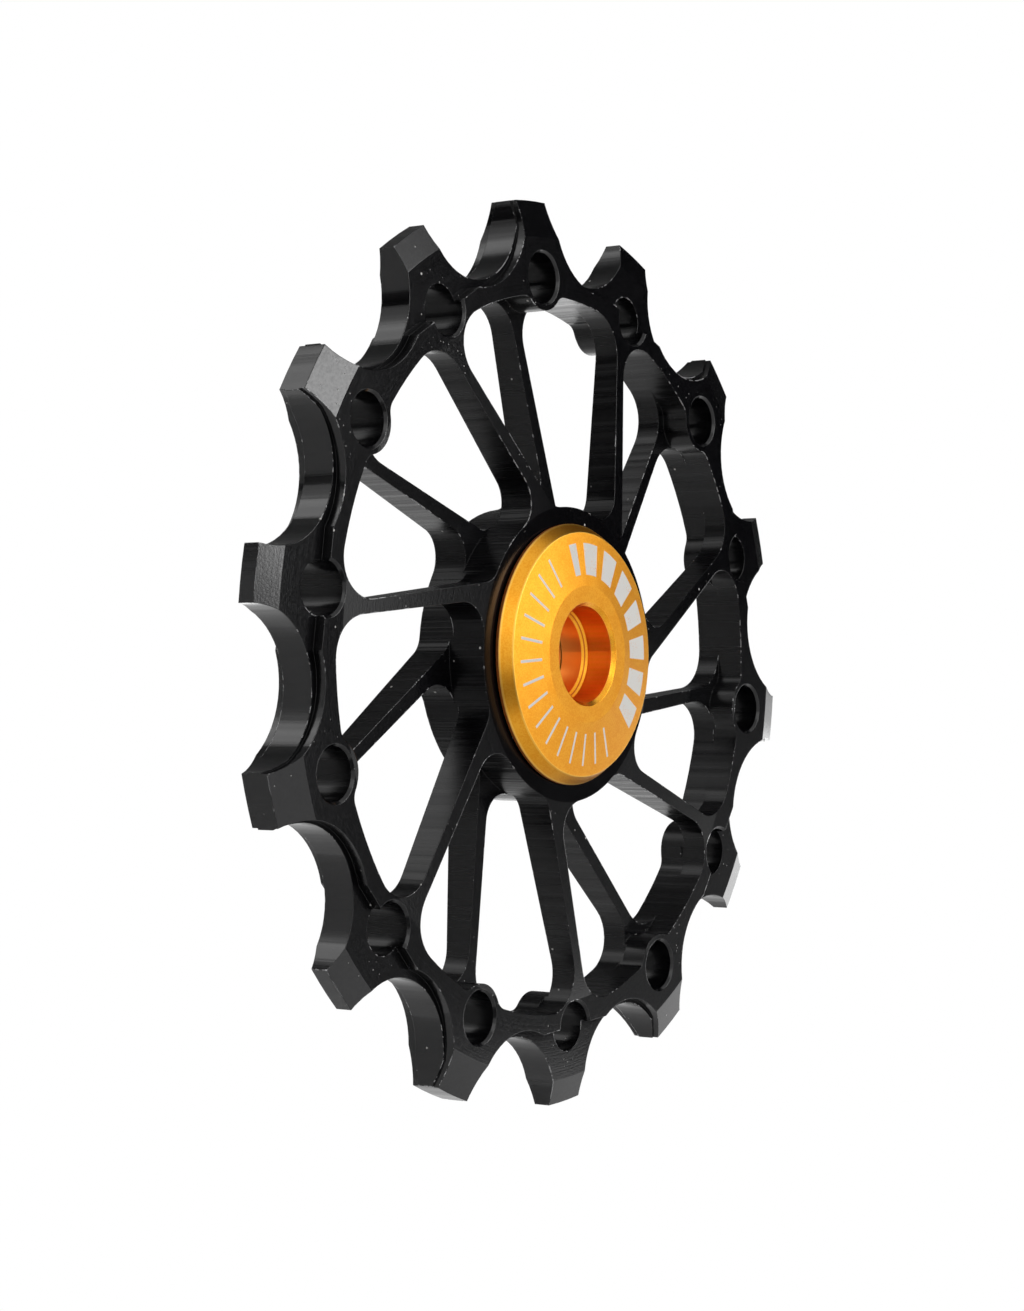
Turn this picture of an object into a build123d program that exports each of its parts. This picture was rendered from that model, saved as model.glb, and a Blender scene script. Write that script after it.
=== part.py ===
from build123d import *
from math import asin, atan2, degrees, pi, radians, sin, sqrt
import os

os.makedirs("parts", exist_ok=True)

# Frame: the axle runs along Y through the origin and the wheel's middle is the XZ plane.
# The front looks along -Y, and the first wide tooth points up, along +Z.
face = Plane.XZ

# Chain and teeth
tooth_count = 14
chain_pitch = 12.7
roller_radius = 3.875
seat_radius = 4.85
tip_rise = 0.76
rim_width = 3.5
wide_chamfer_drop = 1.64
wide_tip_width = 1.9
narrow_width = 2.15
narrow_chamfer_drop = 0.89
narrow_tip_width = 1.1
relief_floor = 0.45
relief_flank = 0.1

# Rim, lightening holes and spokes
hole_inset = 0.36
hole_radius = 1.62
hole_chamfer = 0.16
window_inset = 1.1
boss_wall = 0.5
boss_fillet = 1.0
spoke_offset = 4.87
spoke_lead = 2.88
spoke_rim_width = 0.75
spoke_hub_width = 1.08
rim_lead_fillet = 2.7
rim_trail_fillet = 2.4
hub_lead_fillet = 1.9
hub_trail_fillet = 1.5
web_edge_inset = 0.6
pocket_overlap = 0.12

# Hub and ball bearing
hub_wall = 1.53
hub_bore_chamfer = 0.2
bearing_outer_radius = 8.0
bearing_inner_radius = 4.0
bearing_width = 5.0
bearing_fit = 0.01
ball_count = 9
ball_radius = 1.0
race_shoulder = 0.75
race_chamfer = 0.2
groove_play = 0.03
seal_land = 0.45
seal_inset = 0.15
seal_thickness = 0.45
seal_lip_gap = 0.1
cage_wall_gap = 0.18
cage_pocket_play = 0.06
cage_seal_gap = 0.4
cage_lip = 0.55

# Caps
cap_overhang = 0.42
cap_flange = 1.305
cap_bevel_width = 0.55
cap_bevel_height = 0.78
cap_face_fall = 0.35
cap_flat_width = 1.05
cap_hub_gap = 0.12
cap_shoulder_inset = 0.25
cap_joint_gap = 0.1
axle_bore_radius = 2.75
counterbore_step = 0.35
counterbore_depth = 2.05
ledge_fall = 0.28
bore_chamfer = 0.25

# How close a corner must lie to a boss to count as its own
pick_margin = 0.001

# Sizes that follow from the ones above
tooth_angle = 360 / tooth_count
pair_count = tooth_count // 2
pair_angle = 2 * tooth_angle
wide_start = 90
narrow_start = wide_start + tooth_angle
pitch_radius = chain_pitch / (2 * sin(pi / tooth_count))
root_radius = pitch_radius - roller_radius
tip_radius = pitch_radius + tip_rise
wide_chamfer_radius = pitch_radius - wide_chamfer_drop
narrow_chamfer_radius = pitch_radius - narrow_chamfer_drop
seat_centre_radius = root_radius + seat_radius
relief_radius = root_radius - relief_floor
relief_round = seat_radius + relief_floor
relief_shift = relief_floor - relief_flank
relief_swing = tooth_angle / 2 - degrees(2 * asin(relief_shift / (2 * seat_centre_radius)))
hole_circle_radius = root_radius - hole_inset
window_radius = hole_circle_radius - window_inset
web_edge_radius = window_radius - web_edge_inset
spoke_lean = spoke_lead + degrees(asin(spoke_offset / window_radius))
boss_radius = hole_radius + boss_wall
ball_circle_radius = (bearing_outer_radius + bearing_inner_radius) / 2
groove_radius = ball_radius + groove_play
inner_land_radius = ball_circle_radius - race_shoulder
outer_land_radius = ball_circle_radius + race_shoulder
seal_seat_radius = outer_land_radius + seal_land
seal_face = bearing_width / 2 - seal_inset
cage_back = seal_face - seal_thickness - cage_seal_gap
hub_bore_radius = bearing_outer_radius + bearing_fit
hub_radius = hub_bore_radius + hub_wall
hub_width = bearing_width
counterbore_radius = axle_bore_radius + counterbore_step
cap_radius = bearing_outer_radius + cap_overhang
cap_flat_radius = counterbore_radius + bore_chamfer + cap_flat_width
cap_shoulder_radius = inner_land_radius - cap_shoulder_inset
cap_back = hub_width / 2 + cap_hub_gap
cap_face = cap_back + cap_flange
cap_rim_face = cap_face - cap_face_fall
counterbore_floor = cap_face - counterbore_depth
ledge_floor = counterbore_floor - ledge_fall


def swing_from_spoke(vertex, first_spoke_angle):
    """Angle from the nearest spoke's centre line to a corner, positive on the spoke's leading side."""
    spoke_angle = first_spoke_angle + spoke_lean - degrees(asin(spoke_offset / vertex.center().length))
    swing = degrees(atan2(vertex.Y, vertex.X)) - spoke_angle
    return (swing + pair_angle / 2) % pair_angle - pair_angle / 2


def pocket_cutter(first_spoke_angle, floor, depth):
    """Pockets between the spokes of one side, leaving a boss by the hole under every other tooth."""
    boss_spots = PolarLocations(hole_circle_radius, pair_count, start_angle=first_spoke_angle + tooth_angle)
    boss_centres = [spot.position for spot in boss_spots]
    mid_radius = (hub_radius + window_radius) / 2
    hub_reach = sqrt(hub_radius**2 - spoke_offset**2) - spoke_hub_width
    rim_reach = window_radius + spoke_rim_width
    with BuildPart() as cutter:
        with BuildSketch(face.offset(floor)) as outline:
            Circle(window_radius)
            Circle(hub_radius, mode=Mode.SUBTRACT)
            with PolarLocations(0, pair_count, start_angle=first_spoke_angle + spoke_lean):
                Polygon(
                    (hub_reach, -spoke_offset - spoke_hub_width / 2),
                    (rim_reach, -spoke_offset - spoke_rim_width / 2),
                    (rim_reach, -spoke_offset + spoke_rim_width / 2),
                    (hub_reach, -spoke_offset + spoke_hub_width / 2),
                    align=None,
                    mode=Mode.SUBTRACT,
                )
            for at_rim, leading, radius in (
                (False, True, hub_lead_fillet),
                (False, False, hub_trail_fillet),
                (True, True, rim_lead_fillet),
                (True, False, rim_trail_fillet),
            ):
                corners = outline.vertices().filter_by(lambda v: (v.center().length > mid_radius) == at_rim)
                corners = corners.filter_by(lambda v: (swing_from_spoke(v, first_spoke_angle) > 0) == leading)
                fillet(corners, radius)
            with boss_spots:
                Circle(boss_radius, mode=Mode.SUBTRACT)
            boss_corners = outline.vertices().filter_by(
                lambda v: min((v.center() - spot).length for spot in boss_centres) < boss_radius + pick_margin
            )
            fillet(boss_corners, boss_fillet)
        extrude(amount=depth)
    return cutter.part


# Relief that thins every second tooth on both sides, blending into the flanks of its neighbours
with BuildPart() as narrow_relief:
    with BuildSketch(face):
        for swing in (-relief_swing, relief_swing):
            with PolarLocations(seat_centre_radius, pair_count, start_angle=narrow_start + swing):
                Circle(relief_round)
        with PolarLocations(seat_centre_radius, pair_count, start_angle=narrow_start):
            Rectangle(2 * relief_round, 2 * relief_radius * sin(radians(relief_swing)))
    extrude(amount=hub_width, both=True)
    with BuildSketch(Plane.XY):
        with BuildLine():
            Polyline(
                (relief_radius, narrow_width / 2),
                (narrow_chamfer_radius, narrow_width / 2),
                (tip_radius, narrow_tip_width / 2),
                (tip_radius + seat_radius, narrow_tip_width / 2),
                (tip_radius + seat_radius, rim_width),
                (relief_radius, rim_width),
                close=True,
            )
        make_face()
        mirror(about=Plane.XZ)
    revolve(axis=Axis.Y, mode=Mode.INTERSECT)

front_pockets = pocket_cutter(narrow_start, -pocket_overlap, hub_width)
rear_pockets = pocket_cutter(wide_start, pocket_overlap, -hub_width)

# Toothed wheel, turned as one blank and milled from both sides
with BuildPart() as toothed_wheel:
    with BuildSketch(Plane.XY):
        with BuildLine():
            Polyline(
                (hub_bore_radius, 0),
                (hub_bore_radius, hub_width / 2 - hub_bore_chamfer),
                (hub_bore_radius + hub_bore_chamfer, hub_width / 2),
                (hub_radius, hub_width / 2),
                (web_edge_radius, rim_width / 2),
                (wide_chamfer_radius, rim_width / 2),
                (tip_radius, wide_tip_width / 2),
                (tip_radius, 0),
                close=True,
            )
        make_face()
        mirror(about=Plane.XZ)
    revolve(axis=Axis.Y)
    with BuildSketch(face):
        with PolarLocations(seat_centre_radius, tooth_count, start_angle=wide_start + tooth_angle / 2):
            Circle(seat_radius)
    extrude(amount=hub_width, both=True, mode=Mode.SUBTRACT)
    add(narrow_relief.part, mode=Mode.SUBTRACT)
    add(front_pockets, mode=Mode.SUBTRACT)
    add(rear_pockets, mode=Mode.SUBTRACT)
    with BuildSketch(face):
        with PolarLocations(hole_circle_radius, tooth_count, start_angle=wide_start):
            Circle(hole_radius)
    extrude(amount=hub_width, both=True, mode=Mode.SUBTRACT)
    for side in (-1, 1):
        with BuildSketch(face.offset(side * rim_width / 2)):
            with PolarLocations(hole_circle_radius, tooth_count, start_angle=wide_start):
                Circle(hole_radius + hole_chamfer)
        extrude(amount=-side * hole_chamfer, taper=45, mode=Mode.SUBTRACT)
toothed_wheel.part.label = "toothed_wheel"
export_step(toothed_wheel.part, "parts/toothed_wheel.step")

# Outer race, pressed into the hub, with a seat for a seal on each side
with BuildPart() as bearing_outer_race:
    with BuildSketch(Plane.XY):
        with BuildLine():
            Polyline(
                (outer_land_radius, 0),
                (outer_land_radius, seal_face - seal_thickness),
                (seal_seat_radius, seal_face - seal_thickness),
                (seal_seat_radius, bearing_width / 2),
                (bearing_outer_radius - race_chamfer, bearing_width / 2),
                (bearing_outer_radius, bearing_width / 2 - race_chamfer),
                (bearing_outer_radius, 0),
                close=True,
            )
        make_face()
        mirror(about=Plane.XZ)
        with Locations((ball_circle_radius, 0)):
            Circle(groove_radius, mode=Mode.SUBTRACT)
    revolve(axis=Axis.Y)
bearing_outer_race.part.label = "bearing_outer_race"
export_step(bearing_outer_race.part, "parts/bearing_outer_race.step")

# Inner race, clamped between the caps
with BuildPart() as bearing_inner_race:
    with BuildSketch(Plane.XY):
        with BuildLine():
            Polyline(
                (bearing_inner_radius, 0),
                (bearing_inner_radius, bearing_width / 2 - race_chamfer),
                (bearing_inner_radius + race_chamfer, bearing_width / 2),
                (inner_land_radius, bearing_width / 2),
                (inner_land_radius, 0),
                close=True,
            )
        make_face()
        mirror(about=Plane.XZ)
        with Locations((ball_circle_radius, 0)):
            Circle(groove_radius, mode=Mode.SUBTRACT)
    revolve(axis=Axis.Y)
bearing_inner_race.part.label = "bearing_inner_race"
export_step(bearing_inner_race.part, "parts/bearing_inner_race.step")

# Room for the balls in the cage, drilled outwards from the axle
with BuildPart(face) as ball_pockets:
    with PolarLocations(ball_circle_radius, ball_count, start_angle=wide_start):
        Cylinder(ball_radius + cage_pocket_play, 2 * race_shoulder, rotation=(0, 90, 0))

# Snap cage: a crown with its back at the rear and its pockets open to the front
with BuildPart() as ball_cage:
    with BuildSketch(Plane.XY):
        with Locations((ball_circle_radius, (cage_back - cage_lip) / 2)):
            Rectangle(2 * (race_shoulder - cage_wall_gap), cage_back + cage_lip)
    revolve(axis=Axis.Y)
    add(ball_pockets.part, mode=Mode.SUBTRACT)
ball_cage.part.label = "ball_cage"
export_step(ball_cage.part, "parts/ball_cage.step")

# Balls, one node each
for index in range(ball_count):
    ball_place = PolarLocations(ball_circle_radius, 1, start_angle=wide_start + index * 360 / ball_count)
    with BuildPart(face) as ball:
        with ball_place:
            Sphere(ball_radius)
    ball.part.label = f"ball_{index + 1}"
    export_step(ball.part, f"parts/ball_{index + 1}.step")

# Rubber seals, held in the outer race with their lip just off the inner one
with BuildPart() as rear_seal:
    with BuildSketch(Plane.XY):
        with BuildLine():
            Polyline(
                (inner_land_radius + seal_lip_gap, seal_face - seal_thickness / 2),
                (inner_land_radius + seal_lip_gap, seal_face),
                (seal_seat_radius - bearing_fit, seal_face),
                (seal_seat_radius - bearing_fit, seal_face - seal_thickness),
                (outer_land_radius - seal_thickness, seal_face - seal_thickness),
                close=True,
            )
        make_face()
    revolve(axis=Axis.Y)
rear_seal.part.label = "rear_seal"
export_step(rear_seal.part, "parts/rear_seal.step")

with BuildPart() as front_seal:
    mirror(rear_seal.part, about=Plane.XZ)
front_seal.part.label = "front_seal"
export_step(front_seal.part, "parts/front_seal.step")

# Caps: a flange over the hub, a shoulder on the inner race and a spigot through it to the middle
with BuildPart() as rear_cap:
    with BuildSketch(Plane.XY):
        with BuildLine():
            Polyline(
                (axle_bore_radius, cap_joint_gap / 2),
                (bearing_inner_radius - bearing_fit, cap_joint_gap / 2),
                (bearing_inner_radius - bearing_fit, bearing_width / 2),
                (cap_shoulder_radius, bearing_width / 2),
                (cap_shoulder_radius, cap_back),
                (cap_radius, cap_back),
                (cap_radius, cap_rim_face - cap_bevel_height),
                (cap_radius - cap_bevel_width, cap_rim_face),
                (cap_flat_radius, cap_face),
                (counterbore_radius + bore_chamfer, cap_face),
                (counterbore_radius, cap_face - bore_chamfer),
                (counterbore_radius, counterbore_floor),
                (axle_bore_radius, ledge_floor),
                close=True,
            )
        make_face()
    revolve(axis=Axis.Y)
rear_cap.part.label = "rear_cap"
export_step(rear_cap.part, "parts/rear_cap.step")

with BuildPart() as front_cap:
    mirror(rear_cap.part, about=Plane.XZ)
front_cap.part.label = "front_cap"
export_step(front_cap.part, "parts/front_cap.step")
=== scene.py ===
from math import cos, degrees, pi, radians, sin

import bpy
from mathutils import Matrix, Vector

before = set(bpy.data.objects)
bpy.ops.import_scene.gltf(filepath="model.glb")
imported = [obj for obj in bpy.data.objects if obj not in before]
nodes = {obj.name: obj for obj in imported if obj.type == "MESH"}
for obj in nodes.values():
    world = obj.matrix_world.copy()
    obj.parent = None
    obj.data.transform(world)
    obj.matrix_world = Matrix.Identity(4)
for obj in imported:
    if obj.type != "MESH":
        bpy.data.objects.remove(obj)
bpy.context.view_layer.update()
scene = bpy.context.scene
print("frame loaded:", len(nodes), "nodes")


class Wire:
    # one socket of a node tree; sums on it add Math nodes, and node() adds any other kind

    def __init__(self, tree, socket=None):
        self.tree = tree
        self.socket = socket

    def node(self, kind, settings=None, inputs=None, output=0):
        made = self.tree.nodes.new("ShaderNode" + kind)
        for key, value in (settings or {}).items():
            setattr(made, key, value)
        for key, value in (inputs or {}).items():
            if isinstance(value, Wire):
                self.tree.links.new(value.socket, made.inputs[key])
            else:
                made.inputs[key].default_value = value
        return Wire(self.tree, made.outputs[output])

    def beside(self, output):  # another output of the same node
        return Wire(self.tree, self.socket.node.outputs[output])

    def maths(self, operation, other=0.0):
        return self.node("Math", {"operation": operation}, {0: self, 1: other})

    def __add__(self, other):
        return self.maths("ADD", other)

    __radd__ = __add__

    def __sub__(self, other):
        return self.maths("SUBTRACT", other)

    def __rsub__(self, other):
        return self.node("Math", {"operation": "SUBTRACT"}, {0: other, 1: self})

    def __mul__(self, other):
        return self.maths("MULTIPLY", other)

    __rmul__ = __mul__

    def __abs__(self):
        return self.maths("ABSOLUTE")

    def __gt__(self, other):
        return self.maths("GREATER_THAN", other)

    def __lt__(self, other):
        return self.maths("LESS_THAN", other)


def newFinish(name):
    material = bpy.data.materials.new(name)
    material.use_nodes = True
    material.node_tree.nodes.clear()
    return material, Wire(material.node_tree)


def closeFinish(w, shader, kind="Material"):
    out = w.tree.nodes.new("ShaderNodeOutput" + kind)
    w.tree.links.new(shader.socket, out.inputs["Surface"])


def giveFinish(material, *names):
    for name in names:
        slots = nodes[name].data.materials
        slots.clear()
        slots.append(material)


def smooth(value, low, high):
    return value.node("MapRange", {"interpolation_type": "SMOOTHSTEP"},
                      {"Value": value, "From Min": low, "From Max": high})


def lineSpot(value, middle, half, soft):
    # 1 within half of middle, falling off over soft
    return 1 - smooth(abs(value - middle), half, half + soft)


def most(value, *others):
    for other in others:
        value = value.maths("MAXIMUM", other)
    return value


def blend(factor, first, second):
    return factor.node("Mix", {"data_type": "RGBA"}, {0: factor, 6: first, 7: second}, 2)


def noise(place, scale, detail=2.0, kind="3D"):
    return place.node("TexNoise", {"noise_dimensions": kind},
                      {"W" if kind == "1D" else "Vector": place, "Scale": scale, "Detail": detail}, "Fac")


def cells(place, scale):
    return place.node("TexVoronoi", {"feature": "F1"}, {"Vector": place, "Scale": scale}, "Distance")


def occlusion(w, reach, inside=False):
    return w.node("AmbientOcclusion", {"inside": inside, "only_local": True, "samples": 6},
                  {"Distance": reach}, "AO")


def bumped(height, depth, edgeRadius=None):
    # depth and edgeRadius in metres; edgeRadius rounds the edges as well
    inputs = {"Strength": 1.0, "Distance": depth, "Height": height}
    if edgeRadius is not None:
        inputs["Normal"] = height.node("Bevel", {"samples": 6}, {"Radius": edgeRadius})
    return height.node("Bump", inputs=inputs)


def axes(vector):
    parts = vector.node("SeparateXYZ", inputs={0: vector})
    return [parts.beside(axis) for axis in "XYZ"]


def millimetres(w):
    # the piece's own coordinates in mm
    place = w.node("TexCoord", output="Object")
    return w.node("VectorMath", {"operation": "SCALE"}, {0: place, "Scale": 1000.0})


def fromAxle(x, z):
    return (x * x + z * z).maths("SQRT")


def roundAxle(x, z):
    # degrees round the axle, 0 to the right and 90 at the top
    return z.maths("ARCTAN2", x) * degrees(1)


def facing(w):
    # 1 where the surface looks along the axle
    return abs(axes(w.node("TexCoord", output="Normal"))[1])


wheelLook = {
    "black": (0.0016, 0.0016, 0.0022, 1),
    "worn": (0.0040, 0.0039, 0.0048, 1),
    "bareAndGlint": (0.88, 0.88, 0.89, 1),
    "dust": (0.78, 0.77, 0.74, 1),
    "turnedIor": 1.52,
    "dullIor": 1.2,
    "faceRoughness": 0.14,
    "seatRoughness": 0.19,
    "spokeRoughness": 0.27,
    # share of the dull finish; hubDull is added to the spokes' towards the hub
    "spokeDull": 0.52,
    "hubDull": 0.30,
    "holeDull": 0.62,
    "faceDull": 0.18,
    # mm from the axle, and for holeReach from the middle of a hole
    "hubRing": (9.45, 9.60),
    "hubReach": (10.5, 13.0),
    "spokeReach": (23.6, 24.0),
    "holeCircle": 24.3,
    "holeReach": (1.70, 1.85),
    "holeCount": 14,
    # scales per mm
    "chatterScale": 1.3,
    "streakScale": 5.5,
    "ringScale": 7.0,
    "grainScale": 16.0,
    "mottleScale": 6.0,
    "cloudScale": 0.30,
    "chipScale": 2.6,
    "nickScale": 4.5,
    "dustScale": 0.75,
    "speckScale": 2.1,
    "patchScale": 0.16,
    # metres
    "edgeRadius": 0.00006,
    "chipReach": 0.00012,
    "stepReach": 0.0010,
    "bumpDepth": 0.00001,
}


def blackAnodised(look):
    material, w = newFinish("blackAnodised")
    place = millimetres(w)
    x, _, z = axes(place)
    radius = fromAxle(x, z)
    onFace = smooth(facing(w), 0.55, 0.85)
    onWall = 1 - onFace
    inSpokes = 1 - smooth(radius, *look["spokeReach"])
    nearHub = 1 - smooth(radius, *look["hubReach"])

    # cutter marks run along the axle on the walls, and turning rings run round the faces
    across = w.node("CombineXYZ", inputs={0: x, 1: z})
    chatter = noise(across, look["chatterScale"], 1.0, "2D")
    streaks = noise(across, look["streakScale"], 3.0, "2D")
    rings = noise(radius, look["ringScale"], 3.0, "1D")
    grain = noise(place, look["grainScale"])
    mottle = noise(place, look["mottleScale"])
    cloud = noise(place, look["cloudScale"])

    # chipped metal in runs along the outer edges, with painted highlight lines along those edges as well
    edge = 1 - smooth(occlusion(w, look["chipReach"], inside=True), 0.40, 0.74)
    runs = smooth(noise(place, look["chipScale"], 6.0) + cloud * 0.9, 1.04, 1.12)
    nicks = smooth(noise(place, look["nickScale"]) + cloud * 0.5, 0.93, 0.98)
    chipsAndGlints = edge * most(runs, nicks)

    # a few larger specks of dust, and patches of fine ones on the faces
    spots = cells(place, look["dustScale"])
    pick = axes(spots.beside("Color"))[0]
    large = (1 - smooth(spots, 0.03, 0.08)) * smooth(pick + cloud * 0.8, 0.98, 1.10)
    patches = smooth(noise(place, look["patchScale"], 1.0), 0.56, 0.64) * onFace
    fine = (1 - smooth(cells(place, look["speckScale"]), 0.05, 0.12)) * patches
    dust = most(large, fine * 0.35)

    colour = blend(smooth(mottle * 0.6 + cloud * 0.4, 0.40, 0.62), look["black"], look["worn"])
    # the chipped edges are painted near white, which also paints the highlight lines where the edges would
    # catch light
    colour = blend(chipsAndGlints, colour, look["bareAndGlint"])
    colour = blend(dust, colour, look["dust"])

    faceRough = look["faceRoughness"] + (mottle - 0.5) * 0.16 + (rings - 0.5) * 0.06
    wallRough = look["seatRoughness"] + inSpokes * (look["spokeRoughness"] - look["seatRoughness"])
    wallRough = wallRough + (streaks - 0.5) * 0.07 + (chatter - 0.5) * 0.12
    rough = faceRough * onFace + wallRough * onWall + chipsAndGlints * 0.25 + dust * 0.5

    milled = chatter * (2.0 + inSpokes * 2.4) + streaks * (0.45 + nearHub * 3.6)
    turned = rings * 0.16 + grain * 0.10 + mottle * 0.30
    height = milled * onWall + turned * onFace + dust * 1.5
    surface = {
        "Base Color": colour,
        "Roughness": rough,
        "Normal": bumped(height, look["bumpDepth"], look["edgeRadius"]),
    }

    # one hole under each tooth, and the first tooth is at the top
    turn = (roundAxle(x, z) + (360.0 - 90.0)).maths("PINGPONG", 180.0 / look["holeCount"]) * radians(1)
    circle = look["holeCircle"]
    fromHole = (radius * radius + circle ** 2 - radius * turn.maths("COSINE") * (2 * circle)).maths("SQRT")
    inHole = 1 - smooth(fromHole, *look["holeReach"])

    # duller than the turned rim: the hub ring beside the cap, the walls of the windows and holes, and a fine
    # satin grain on the faces; the reliefs close under their steps are also made duller by occlusion, as
    # painted shade
    hubRing = 1 - smooth(radius, *look["hubRing"])
    # painted shade: occlusion darkens the floor of each relief close under its step
    paintedStepShade = (1 - smooth(occlusion(w, look["stepReach"]), 0.62, 0.93)) * onFace * (1 - inSpokes)
    spokeDull = inSpokes * (look["spokeDull"] + nearHub * look["hubDull"])
    wallDull = most(spokeDull, inHole * look["holeDull"]) * onWall
    satin = smooth(mottle * 0.5 + grain * 0.5, 0.42, 0.60) * onFace * look["faceDull"]
    dullAndShadeShare = most(hubRing, paintedStepShade, wallDull + satin) * (1 - chipsAndGlints)

    bright = w.node("BsdfPrincipled", inputs={**surface, "Metallic": chipsAndGlints * 0.2, "IOR": look["turnedIor"]})
    dull = w.node("BsdfPrincipled", inputs={**surface, "IOR": look["dullIor"]})
    closeFinish(w, w.node("MixShader", inputs={0: dullAndShadeShare, 1: bright, 2: dull}))
    return material


giveFinish(blackAnodised(wheelLook), "toothed_wheel")
print("wheel finished")

capLook = {
    "gold": (0.89, 0.41, 0.036, 1),
    "deep": (0.83, 0.33, 0.021, 1),
    "edge": (1.00, 0.62, 0.12, 1),
    "bore": (1.00, 0.36, 0.070, 1),
    "rim": (0.45, 0.07, 0.02, 1),
    "print": (0.82, 0.80, 0.76, 1),
    "roughness": 0.44,
    # mm from the axle, where each begins and is full
    "boreReach": (3.08, 3.14),
    "bevelStart": (7.80, 7.92),
    "rimStart": (8.36, 8.41),
    # mm from the axle: middle, half of the width, soft edge
    "ledge": (2.925, 0.165, 0.01),
    "ledgeLine": (2.93, 0.02, 0.015),
    "mouth": (3.23, 0.11, 0.02),
    "bevelEdge": (7.87, 0.03, 0.04),
    "rimEdge": (8.37, 0.03, 0.02),
    "markBand": (6.15, 1.00, 0.05),
    # the ticks: only in front of this y in mm, then degrees, and half of their widths in mm or degrees
    "markFront": -2.6,
    "fineStep": 12.0,
    "fineFrom": 118.0,
    "fineTo": -68.0,
    "fineWidth": (0.07, 0.11),
    "broadStep": 20.0,
    "broadFrom": -50.0,
    "broadTo": 100.0,
    "broadWidth": (6.2, 6.8),
    # scales per mm
    "ringScale": 9.0,
    "grainScale": 18.0,
    "mottleScale": 9.0,
    "cloudScale": 0.8,
    # metres
    "edgeRadius": 0.00005,
    "bumpDepth": 0.000006,
}


def goldAnodised(look):
    material, w = newFinish("goldAnodised")
    place = millimetres(w)
    x, y, z = axes(place)
    radius = fromAxle(x, z)
    angle = roundAxle(x, z)
    onFace = smooth(facing(w), 0.75, 0.95)

    rings = noise(radius, look["ringScale"], 3.0, "1D")
    grain = noise(place, look["grainScale"])
    mottle = noise(place, look["mottleScale"], 1.0)
    cloud = noise(place, look["cloudScale"], 3.0)

    # plain printed ticks round the front face: fine ones on the left, broad ones on the right
    fullTurn = angle + 360.0
    fineAway = fullTurn.maths("PINGPONG", look["fineStep"] / 2) * radius * radians(1)
    fineSide = (angle > look["fineFrom"]) + (angle < look["fineTo"])
    fine = (1 - smooth(fineAway, *look["fineWidth"])) * fineSide
    broadAway = fullTurn.maths("PINGPONG", look["broadStep"] / 2)
    broadSide = (angle > look["broadFrom"]) * (angle < look["broadTo"])
    broad = (1 - smooth(broadAway, *look["broadWidth"])) * broadSide
    wear = smooth(grain * 0.7 + cloud * 0.3, 0.33, 0.40)
    band = lineSpot(radius, *look["markBand"]) * (y < look["markFront"]) * onFace
    marks = (fine + broad) * band * wear

    # the bore is painted a redder orange as painted shade from the light bouncing inside it, the thin rim is
    # painted dark red-brown as painted shade at the gap to the hub, and a turned line splits the ledge in the
    # bore
    inBore = 1 - smooth(radius, *look["boreReach"])
    onRim = smooth(radius, *look["rimStart"])
    onLedge = lineSpot(radius, *look["ledge"])
    ledgeLine = lineSpot(radius, *look["ledgeLine"])
    # painted highlight: thin bright lines along both edges of the bevel
    paintedEdgeHighlights = lineSpot(radius, *look["bevelEdge"]) + lineSpot(radius, *look["rimEdge"])

    colour = blend(smooth(cloud * 0.3 + mottle * 0.5 + grain * 0.2, 0.40, 0.60), look["deep"], look["gold"])
    colour = blend(inBore * (1 - onLedge), colour, look["bore"])
    # painted shade: the thin rim dark red-brown and less metallic, and the dark line on the ledge
    colour = blend(onRim * 0.8 + ledgeLine * 0.8, colour, look["rim"])
    colour = blend(paintedEdgeHighlights * 0.55, colour, look["edge"])
    colour = blend(marks, colour, look["print"])

    onBevel = smooth(radius, *look["bevelStart"])
    turned = onBevel * 0.10 + inBore * 0.11 + lineSpot(radius, *look["mouth"]) * 0.20
    rough = look["roughness"] - turned + (mottle - 0.5) * 0.08 + (rings - 0.5) * 0.08 + marks * 0.25
    height = rings * 0.5 * onFace + grain * (0.7 - inBore * 0.6) + marks * 0.4 - ledgeLine * 3.0
    closeFinish(w, w.node("BsdfPrincipled", inputs={
        "Base Color": colour,
        "Roughness": rough,
        "Metallic": 1 - marks - onRim * 0.7,
        "Normal": bumped(height, look["bumpDepth"], look["edgeRadius"]),
    }))
    return material


giveFinish(goldAnodised(capLook), "front_cap", "rear_cap")
print("caps finished")

raceLook = {
    "light": (0.52, 0.53, 0.54, 1),
    "dark": (0.40, 0.41, 0.42, 1),
    "roughness": 0.28,
    "bumpDepth": 0.000004,
}
ballLook = {
    "light": (0.70, 0.71, 0.73, 1),
    "dark": (0.60, 0.61, 0.63, 1),
    "roughness": 0.10,
    "bumpDepth": 0.0000005,
}


def groundSteel(name, look):
    material, w = newFinish(name)
    place = millimetres(w)
    x, y, z = axes(place)
    onFace = smooth(facing(w), 0.55, 0.85)
    across = w.node("CombineXYZ", inputs={0: fromAxle(x, z) * onFace, 1: y * (1 - onFace)})
    rings = noise(across, 14.0, 3.0, "2D")
    grain = noise(place, 9.0, 3.0)
    closeFinish(w, w.node("BsdfPrincipled", inputs={
        "Base Color": blend(rings * 0.6 + grain * 0.4, look["dark"], look["light"]),
        "Roughness": look["roughness"] + (rings - 0.5) * 0.12 + (grain - 0.5) * 0.08,
        "Metallic": 1.0,
        "Normal": bumped(rings, look["bumpDepth"]),
    }))
    return material


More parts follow.
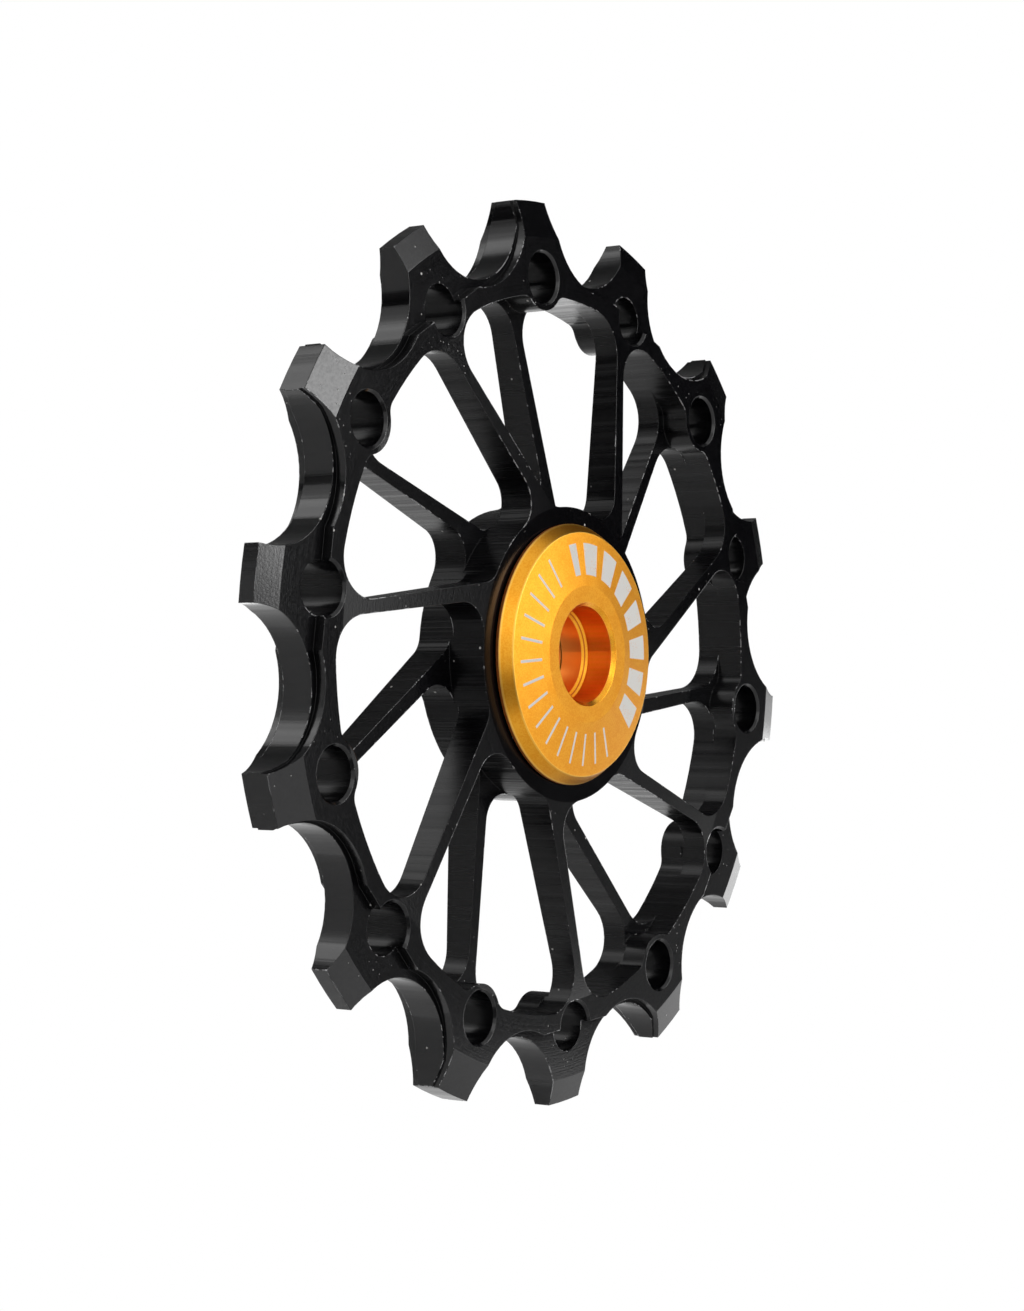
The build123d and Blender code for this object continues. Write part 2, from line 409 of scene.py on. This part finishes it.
cageLook = {
    "light": (0.66, 0.58, 0.42, 1),
    "dark": (0.56, 0.48, 0.33, 1),
    "roughness": 0.48,
    "grainScale": 11.0,
    "bumpDepth": 0.000008,
}
sealLook = {
    "light": (0.022, 0.022, 0.023, 1),
    "dark": (0.012, 0.012, 0.012, 1),
    "roughness": 0.62,
    "grainScale": 14.0,
    "bumpDepth": 0.000008,
}


def mouldedStuff(name, look):
    material, w = newFinish(name)
    place = millimetres(w)
    grain = noise(place, look["grainScale"], 3.0)
    cloud = noise(place, 0.9)
    closeFinish(w, w.node("BsdfPrincipled", inputs={
        "Base Color": blend(smooth(grain * 0.5 + cloud * 0.5, 0.3, 0.7), look["dark"], look["light"]),
        "Roughness": look["roughness"] + (grain - 0.5) * 0.15,
        "Normal": bumped(grain, look["bumpDepth"]),
    }))
    return material


ballNames = [name for name in nodes if name.startswith("ball_") and name != "ball_cage"]
giveFinish(groundSteel("groundSteel", raceLook), "bearing_outer_race", "bearing_inner_race")
giveFinish(groundSteel("polishedBalls", ballLook), *ballNames)
giveFinish(mouldedStuff("cageNylon", cageLook), "ball_cage")
giveFinish(mouldedStuff("sealRubber", sealLook), "front_seal", "rear_seal")
print("bearing finished")

stageLook = {
    "drop": 0.070,
    "reach": 4.0,
    "floorColour": (0.84, 0.84, 0.84, 1),
    "white": (1, 1, 1, 1),
    "shadowReach": (0.03, 0.085),
    "shadowShare": 0.65,
    "ambient": 0.30,
    "grainScale": 900.0,
    "bumpDepth": 0.00005,
    "bumpStrength": 0.2,
}


def seen(w):
    # 1 for what the camera sees, straight or by way of metal or glass
    ray = w.node("LightPath", output="Is Camera Ray")
    return most(ray, ray.beside("Is Glossy Ray"), ray.beside("Is Transmission Ray"))


def paleFloor(look):
    mesh = bpy.data.meshes.new("paleFloor")
    half = look["reach"]
    corners = [(-half, -half, 0), (half, -half, 0), (half, half, 0), (-half, half, 0)]
    mesh.from_pydata(corners, [], [(0, 1, 2, 3)])
    floor = bpy.data.objects.new("paleFloor", mesh)
    floor.location = (0, 0, -look["drop"])
    scene.collection.objects.link(floor)

    # white but for a soft zone round the object, which keeps its shadow
    material, w = newFinish("palePaper")
    place = w.node("TexCoord", output="Object")
    grain = noise(place, look["grainScale"])
    bump = w.node("Bump", inputs={
        "Strength": look["bumpStrength"], "Distance": look["bumpDepth"], "Height": grain})
    paper = w.node("BsdfDiffuse", inputs={"Color": look["floorColour"], "Normal": bump})
    white = w.node("Emission", inputs={"Color": look["white"], "Strength": 1.0})
    away = w.node("VectorMath", {"operation": "LENGTH"}, {0: place}, "Value")
    near = 1 - smooth(away, *look["shadowReach"])
    share = seen(w) * (1 - near * look["shadowShare"])
    closeFinish(w, w.node("MixShader", inputs={0: share, 1: paper, 2: white}))
    mesh.materials.append(material)


def paleWorld(look):
    world = bpy.data.worlds.new("paleRoom")
    scene.world = world
    world.use_nodes = True
    world.node_tree.nodes.clear()
    w = Wire(world.node_tree)
    strength = look["ambient"] + seen(w) * (1 - look["ambient"])
    background = w.node("Background", inputs={"Color": look["white"], "Strength": strength})
    closeFinish(w, background, "World")


def fromAngles(azimuth, elevation, distance):
    # azimuth 0 is straight in front of the wheel, 90 to its right
    a, e = radians(azimuth), radians(elevation)
    return Vector((sin(a) * cos(e), -cos(a) * cos(e), sin(e))) * distance


# angles are azimuth and elevation
lampLook = {
    "fill": {"angles": (-32, 28), "distance": 0.60, "size": (0.34, 0.26), "radiance": 1.2},
    "key": {"angles": (29, 15), "distance": 0.60, "size": (0.32, 0.24), "radiance": 5.9},
    "backTop": {"angles": (-156, 44), "distance": 0.60, "size": (0.22, 0.26), "radiance": 2.0},
    "backLeft": {"angles": (-138, 38), "distance": 0.60, "size": (0.20, 0.26), "radiance": 0.9},
    "lowRight": {"angles": (106, -22), "distance": 0.16, "size": (0.22, 0.08), "radiance": 1.3},
}


def softbox(name, look):
    width, height = look["size"]
    area = bpy.data.lights.new(name, "AREA")
    area.shape = "RECTANGLE"
    area.size = width
    area.size_y = height
    area.energy = look["radiance"] * pi * width * height
    lamp = bpy.data.objects.new(name, area)
    lamp.location = fromAngles(*look["angles"], look["distance"])
    lamp.rotation_euler = (-lamp.location).to_track_quat("-Z", "Y").to_euler()
    lamp.visible_camera = False
    scene.collection.objects.link(lamp)


# greys are those of the corners: low left, low right, top left, top right
flagLook = {
    "frontRightLow": {
        "azimuths": (41.5, 70), "elevations": (-20.5, -1), "distance": 0.16, "greys": (0.36, 0.95, 0.17, 0.10)},
    "frontRightTop": {
        "azimuths": (41.5, 57), "elevations": (-1, 14), "distance": 0.16, "greys": (0.24, 0.10, 0.60, 0.05)},
    "frontRightDark": {
        "azimuths": (57, 70), "elevations": (-1, 14), "distance": 0.16, "greys": [0.02] * 4},
    "right": {
        "azimuths": (48, 96), "elevations": (-4, 32), "distance": 0.75, "greys": [0.03] * 4},
    "rightTop": {
        "azimuths": (66, 96), "elevations": (32, 84), "distance": 0.75, "greys": [0.20] * 4},
    "back": {
        "azimuths": (96, 190), "elevations": (-5, 84), "distance": 0.75, "greys": [0.40] * 4},
    "left": {
        "azimuths": (-170, -74), "elevations": (-45, 20.5), "distance": 0.095, "greys": [0.90] * 4},
    "leftTop": {
        "azimuths": (-170, -74), "elevations": (6, 84), "distance": 0.75, "greys": [0.08] * 4},
    "frontLow": {
        "azimuths": (-80, -30), "elevations": (-38, -8), "distance": 0.11, "greys": [0.45] * 4},
}


def between(start, end, share):
    return start + (end - start) * share


def greyFlag(name, look):
    # a curved card that the black metal reflects, shaded from corner to corner
    columns, rows = 16, 6
    lowLeft, lowRight, topLeft, topRight = look["greys"]
    points, greys, faces = [], [], []
    for i in range(columns + 1):
        for j in range(rows + 1):
            along, up = i / columns, j / rows
            azimuth = between(*look["azimuths"], along)
            elevation = between(*look["elevations"], up)
            points.append(fromAngles(azimuth, elevation, look["distance"]))
            low = between(lowLeft, lowRight, along)
            top = between(topLeft, topRight, along)
            greys.append(between(low, top, up))
    for i in range(columns):
        for j in range(rows):
            k = i * (rows + 1) + j
            faces.append((k, k + 1, k + rows + 2, k + rows + 1))
    mesh = bpy.data.meshes.new(name)
    mesh.from_pydata(points, [], faces)
    mesh.attributes.new("shade", "FLOAT", "POINT").data.foreach_set("value", greys)
    cloth, w = newFinish(name + "Cloth")
    shade = w.node("Attribute", {"attribute_name": "shade"}, output="Color")
    closeFinish(w, w.node("BsdfDiffuse", inputs={"Color": shade}))
    mesh.materials.append(cloth)
    flag = bpy.data.objects.new(name, mesh)
    flag.visible_camera = False
    flag.visible_shadow = False
    scene.collection.objects.link(flag)


paleFloor(stageLook)
paleWorld(stageLook)
for lampName, look in lampLook.items():
    softbox(lampName, look)
for side, look in flagLook.items():
    greyFlag(side + "Flag", look)
print("stage and lamps placed")

cameraLook = {
    "place": (-0.14956009, -0.10271251, 0.00884371),
    "turn": (87.21532731, 2.48178209, -55.11455495),
    "lens": 76.6161,
    "sensor": 36.0,
    "clip": (0.005, 20.0),
}
view = bpy.data.cameras.new("photoView")
view.lens = cameraLook["lens"]
view.sensor_width = cameraLook["sensor"]
view.clip_start, view.clip_end = cameraLook["clip"]
viewer = bpy.data.objects.new("photoView", view)
viewer.location = cameraLook["place"]
viewer.rotation_euler = [radians(turn) for turn in cameraLook["turn"]]
scene.collection.objects.link(viewer)
scene.camera = viewer
scene.view_settings.view_transform = "Standard"
print("camera placed")
